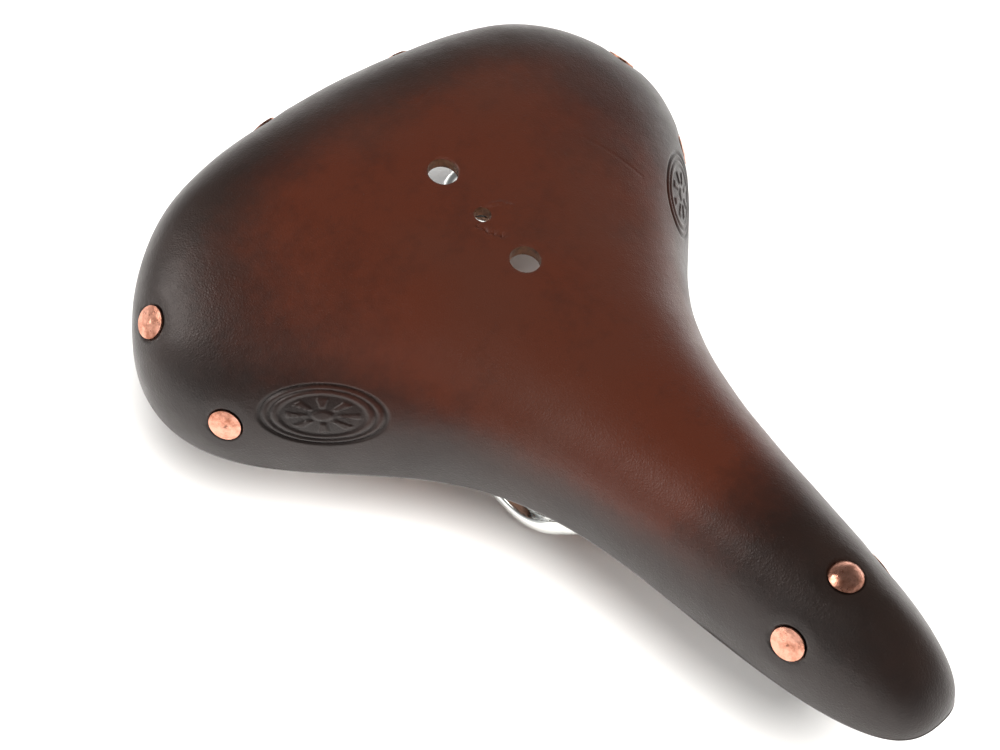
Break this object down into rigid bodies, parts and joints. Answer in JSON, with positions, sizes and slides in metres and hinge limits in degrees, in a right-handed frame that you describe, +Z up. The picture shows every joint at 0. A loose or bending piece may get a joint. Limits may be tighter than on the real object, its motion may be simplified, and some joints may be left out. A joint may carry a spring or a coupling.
{
  "type": "bicycle saddle",
  "caption": "Sprung bicycle saddle with a thick brown leather top, copper rivets, a chromed wire rail frame and two rear coil springs.",
  "frame": {"origin": "on the centre plane, under the middle of the saddle, at its lowest level", "axes": "+Z up, the nose towards -Y, the rear towards +Y, the rider's left towards +X"},
  "size_m": [0.2092, 0.2743, 0.0946],
  "materials": {
    "leather": "smooth, semi-gloss, waxed",
    "copper": "bare hammered copper",
    "plate_steel": "black stoved steel",
    "chrome": "bright chromed steel",
    "zinc_steel": "dull zinc-plated steel"
  },
  "bodies": {
    "frame": {"rail_wire": "chrome", "spring_left": "chrome", "spring_right": "chrome", "spring_bolt_left": "chrome", "spring_bolt_right": "chrome", "seat_washer_left": "chrome", "seat_washer_right": "chrome", "rail_washer_left": "chrome", "rail_washer_right": "chrome", "spring_washer_left": "chrome", "spring_washer_right": "chrome", "spring_nut_left": "zinc_steel", "spring_nut_right": "zinc_steel", "nose_shackle": "chrome", "tension_bolt": "zinc_steel"},
    "seat_top": {"leather_cover": "leather", "cantle_plate": "plate_steel", "nose_plate": "plate_steel", "rear_rivets": "copper", "corner_rivets": "copper", "flank_rivets": "copper", "nose_side_rivets": "copper", "nose_top_rivet": "copper", "rivet_burrs": "copper", "spring_clip_left": "zinc_steel", "spring_clip_right": "zinc_steel", "clip_nuts": "zinc_steel", "pivot_pin": "chrome", "pivot_spacers": "chrome"},
    "tension_washer_body": {"tension_washer": "zinc_steel"},
    "tension_nut_body": {"tension_nut": "zinc_steel"}
  },
  "joints": [
    {"name": "seat_rock", "type": "hinge", "parent": "frame", "child": "seat_top", "pos_m": [0, -0.11689, 0.05713], "axis": [-1, 0, 0], "range_deg": [0, 3.5], "stiffness_Nm_per_rad": 2400, "deforming": ["spring_left", "spring_right"]},
    {"name": "tension_washer_slide", "type": "slide", "parent": "frame", "child": "tension_washer_body", "axis": [0, -0.9205, 0.3907], "range_m": [0, 0.004]},
    {"name": "tension_nut_turn", "type": "hinge", "parent": "tension_washer_body", "child": "tension_nut_body", "pos_m": [0, -0.0948, 0.04775], "axis": [0, -0.9205, 0.3907], "range_deg": [0, 1440]}
  ],
  "couplings": [
    {"joint": "tension_nut_turn", "follows": "tension_washer_slide", "rad_per_m": 6283.2}
  ]
}
